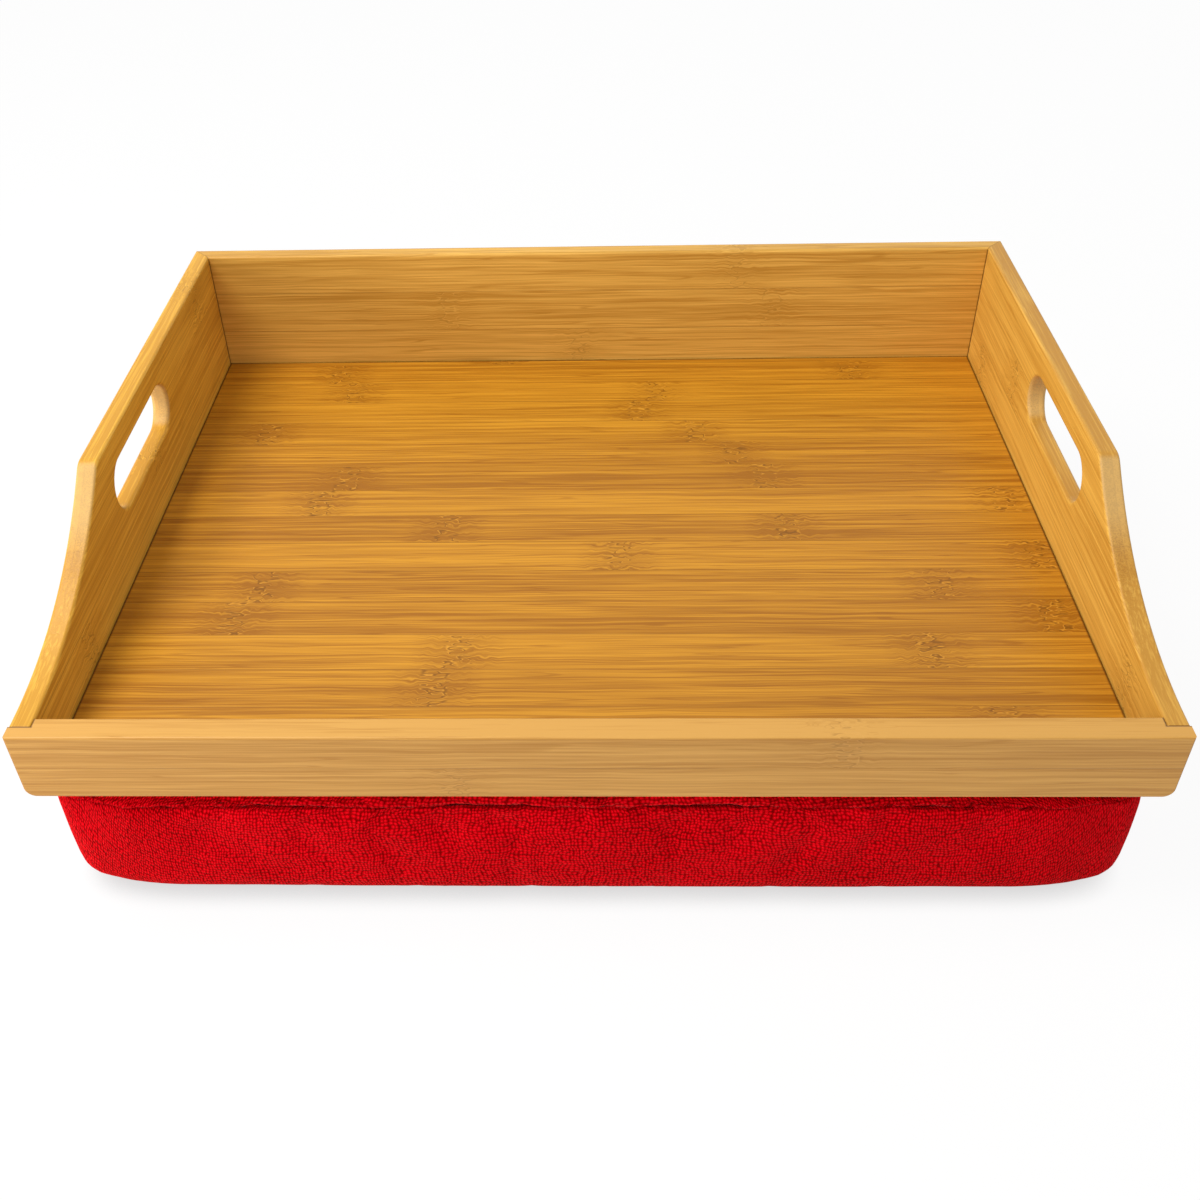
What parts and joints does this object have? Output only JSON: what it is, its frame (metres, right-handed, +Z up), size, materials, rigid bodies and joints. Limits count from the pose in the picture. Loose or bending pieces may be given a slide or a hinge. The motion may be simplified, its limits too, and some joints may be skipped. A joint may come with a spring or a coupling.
{
  "type": "lap tray with cushion",
  "caption": "Bamboo lap tray with hand holes and a low front, which lifts off a bead-filled cushion with a terry cover.",
  "frame": {"origin": "under the middle of the object, on the surface that the cushion stands on", "axes": "+X to the right of someone facing the low front rail, +Y towards the tall back rail, +Z up"},
  "size_m": [0.446, 0.3355, 0.1408],
  "materials": {
    "bamboo_frame": "satin lacquer on pale bamboo",
    "bamboo_panel": "satin lacquer on edge-glued bamboo strips",
    "terry": "looped terry",
    "bag_cloth": "plain weave",
    "beads": "loose foam beads",
    "hook_tape": "stiff hook tape",
    "loop_tape": "soft loop tape",
    "zip_cloth": "woven tape",
    "zip_plastic": "nylon coil",
    "zip_metal": "plated die casting",
    "steel": "bright wire"
  },
  "bodies": {
    "cushion": {"cover_body": "terry", "cover_top": "terry", "inner_bag_lower": "bag_cloth", "inner_bag_upper": "bag_cloth", "bead_filling": "beads", "loop_pad_1": "loop_tape", "loop_pad_2": "loop_tape", "loop_pad_3": "loop_tape", "loop_pad_4": "loop_tape", "zip_tape_upper": "zip_cloth", "zip_tape_lower": "zip_cloth", "zip_coil_upper": "zip_plastic", "zip_coil_lower": "zip_plastic", "zip_stops": "steel"},
    "tray": {"front_rail": "bamboo_frame", "back_rail": "bamboo_frame", "left_side": "bamboo_frame", "right_side": "bamboo_frame", "base_panel": "bamboo_panel", "mitre_splines": "bamboo_frame", "front_corner_brads": "steel", "hook_pad_1": "hook_tape", "hook_pad_2": "hook_tape", "hook_pad_3": "hook_tape", "hook_pad_4": "hook_tape", "hook_pad_staples": "steel"},
    "slider": {"zip_slider": "zip_metal"},
    "pull": {"zip_pull": "zip_metal"}
  },
  "joints": [
    {"name": "tray_lift", "type": "slide", "parent": "cushion", "child": "tray", "axis": [0, 0, 1], "range_m": [0, 0.12]},
    {"name": "zip_run", "type": "slide", "parent": "cushion", "child": "slider", "axis": [-1, 0, 0], "range_m": [0, 0.266]},
    {"name": "pull_swing", "type": "hinge", "parent": "slider", "child": "pull", "pos_m": [0.133, 0.16845, 0.033], "axis": [0, 0, 1], "range_deg": [0, 175]}
  ]
}
